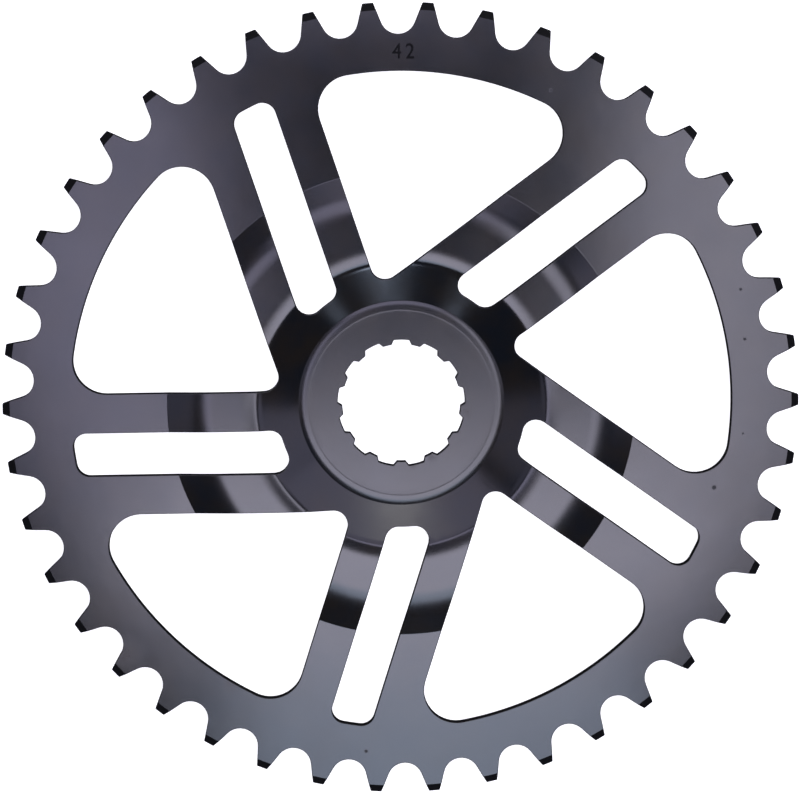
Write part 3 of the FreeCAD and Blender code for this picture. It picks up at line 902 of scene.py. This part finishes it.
# %% The cut walls
CUT_BLACK = (0.004, 0.004, 0.0045, 1)
CUT_ROUGHNESS = 0.6
CUT_SPECULAR = 0.1
cut_steel = bpy.data.materials.new("cut_wall")
cut_steel.use_nodes = True
wall_shader = cut_steel.node_tree.nodes["Principled BSDF"]
wall_shader.inputs["Base Color"].default_value = CUT_BLACK
wall_shader.inputs["Roughness"].default_value = CUT_ROUGHNESS
wall_shader.inputs["Specular IOR Level"].default_value = CUT_SPECULAR
ring.data.materials.append(cut_steel)
print("finishes:", [material.name for material in ring.data.materials])

# %% Which face has which finish
COAT, DISC, CUT = range(3)
number_middle = Vector((*NUMBER_AT, rim_front - NUMBER_DEPTH)) * MM


def is_dull(face):
    """The walls, the bevels of the teeth and the floor of the stamped number are dull."""
    at_tip = radius_of(face.center) > bevel_start * MM
    in_number = ((face.center - number_middle).length < NUMBER_WIDTH * MM
                 and abs(face.center.z - number_middle.z) < SEAM * MM)
    return is_wall(face) or at_tip or in_number


def finish_of(face):
    if is_dull(face):
        return CUT
    return DISC if radius_of(face.center) < step_top * MM else COAT


for face in ring.data.polygons:
    face.material_index = finish_of(face)
print("dull faces:", sum(face.material_index == CUT for face in ring.data.polygons))

# %% [markdown]
# ## The camera
#
# The ring lies on the floor, and the camera looks down on it from a little more than half a metre,
# leaning about seven degrees off the axis. The long lens keeps the far teeth as large as the near
# ones. Three directions at right angles make the camera's turn, so that the small roll can be set as
# well.

# %% Camera
CAMERA_AT = Vector((-11.99, 72.65, 581.08)) * MM
CAMERA_AIM = Vector((-0.367, 1.448, 5.0)) * MM
CAMERA_ROLL = -0.033
CAMERA_LENS = 118.52
SENSOR_WIDTH = 36.0

backwards = (CAMERA_AT - CAMERA_AIM).normalized()
level = Vector((cos(radians(CAMERA_ROLL)), sin(radians(CAMERA_ROLL)), 0))
upwards = backwards.cross(level).normalized()
rightwards = upwards.cross(backwards)
camera = bpy.data.objects.new("camera", bpy.data.cameras.new("camera"))
camera.data.lens = CAMERA_LENS
camera.data.sensor_width = SENSOR_WIDTH
camera_turn = Matrix((rightwards, upwards, backwards)).transposed().to_4x4()
camera.matrix_world = Matrix.Translation(CAMERA_AT) @ camera_turn
bpy.context.scene.collection.objects.link(camera)
bpy.context.scene.camera = camera
print("camera stands", round((CAMERA_AT - CAMERA_AIM).length, 3), "m away")

# %% [markdown]
# ## The floor
#
# A product picture of a black part is taken on bright white paper, so that the outline stands out.
# The floor is white and glows a little, which keeps it even and without a shadow. It is hidden from
# glossy rays, because the real paper hardly shows in the front of the ring.

# %% Floor
FLOOR_HALF = 1.5
FLOOR_WHITE = (0.9, 0.9, 0.9, 1)
FLOOR_ROUGHNESS = 0.9
GLOW_WHITE = (1, 1, 1, 1)
GLOW = 0.9

sheet = bmesh.new()
bmesh.ops.create_grid(sheet, x_segments=1, y_segments=1, size=FLOOR_HALF)
floor = as_object(sheet, "floor")
paper = bpy.data.materials.new("white_paper")
paper.use_nodes = True
floor_shader = paper.node_tree.nodes["Principled BSDF"]
floor_shader.inputs["Base Color"].default_value = FLOOR_WHITE
floor_shader.inputs["Roughness"].default_value = FLOOR_ROUGHNESS
floor_shader.inputs["Emission Color"].default_value = GLOW_WHITE
floor_shader.inputs["Emission Strength"].default_value = GLOW
floor.data.materials.append(paper)
floor.visible_glossy = False
print("floor:", 2 * FLOOR_HALF, "m wide")

# %% [markdown]
# ## The light
#
# A glossy black part shows hardly any colour of its own: what the eye sees in it is the room. Each
# flat face is a dull mirror, so a bright face means a bright surface where its mirror ray arrives.
# Following those rays gave the places of a few soft panels: one in front, weaker ones at both sides
# and behind, wide dim ones for the walls, and three small lamps far in front that draw the glints on
# the bends. An ellipse has no corners, which keeps the reflections soft. The power of a panel is its
# brightness times its area, so that the list reads as brightness.

# %% Light
LIGHT_HEIGHT = 1.2
Panel = namedtuple("Panel", "name x y width depth radiance colour")
PLAIN = (0.95, 0.92, 1.13)
VIOLET = (0.91, 0.87, 1.22)
BLUE = (0.82, 0.95, 1.23)
WHITE = (1.0, 1.0, 1.0)
panels = [
    Panel("front", 0.036, -0.245, 0.44, 0.181, 5.3, PLAIN),
    Panel("low_front", 0.052, -0.386, 0.305, 0.231, 3.9, BLUE),
    Panel("left", -0.175, -0.058, 0.155, 0.331, 3.1, VIOLET),
    Panel("right", 0.248, -0.027, 0.167, 0.447, 4.1, PLAIN),
    Panel("back", -0.01, 0.231, 0.466, 0.21, 2.85, VIOLET),
    Panel("back_core", 0.06, 0.215, 0.2, 0.16, 1.9, PLAIN),
    Panel("far_back", 0.394, 0.972, 2.268, 0.229, 5.3, WHITE),
    Panel("back_glow", 0.275, 0.72, 2.5, 0.755, 1.14, VIOLET),
    Panel("right_wall", 0.842, 0.072, 0.816, 0.657, 0.96, VIOLET),
    Panel("left_wall", -0.757, 0.007, 0.806, 0.734, 0.48, VIOLET),
    Panel("lamp_left", -0.596, -1.414, 0.238, 0.321, 3.1, BLUE),
    Panel("lamp_middle", 0.156, -1.169, 0.387, 0.282, 6.8, BLUE),
    Panel("lamp_right", 0.727, -1.218, 0.144, 0.247, 1.64, BLUE),
]


def hang(panel):
    """Hang a panel as an elliptical area light that looks straight down."""
    light = bpy.data.lights.new(panel.name, "AREA")
    light.shape = "ELLIPSE"
    light.size = panel.width
    light.size_y = panel.depth
    light.energy = pi * panel.radiance * panel.width * panel.depth
    light.color = panel.colour
    lamp = bpy.data.objects.new(panel.name, light)
    lamp.location = (panel.x, panel.y, LIGHT_HEIGHT)
    bpy.context.scene.collection.objects.link(lamp)


for panel in panels:
    hang(panel)

ROOM = (0.065, 0.065, 0.068, 1)
world = bpy.data.worlds.new("studio")
bpy.context.scene.world = world
world.use_nodes = True
world.node_tree.nodes["Background"].inputs["Color"].default_value = ROOM
bpy.context.scene.view_settings.view_transform = "Standard"
print("light:", len(panels), "panels")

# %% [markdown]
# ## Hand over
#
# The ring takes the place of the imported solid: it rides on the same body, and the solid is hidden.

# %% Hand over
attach(ring, "root")
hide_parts("chainring")
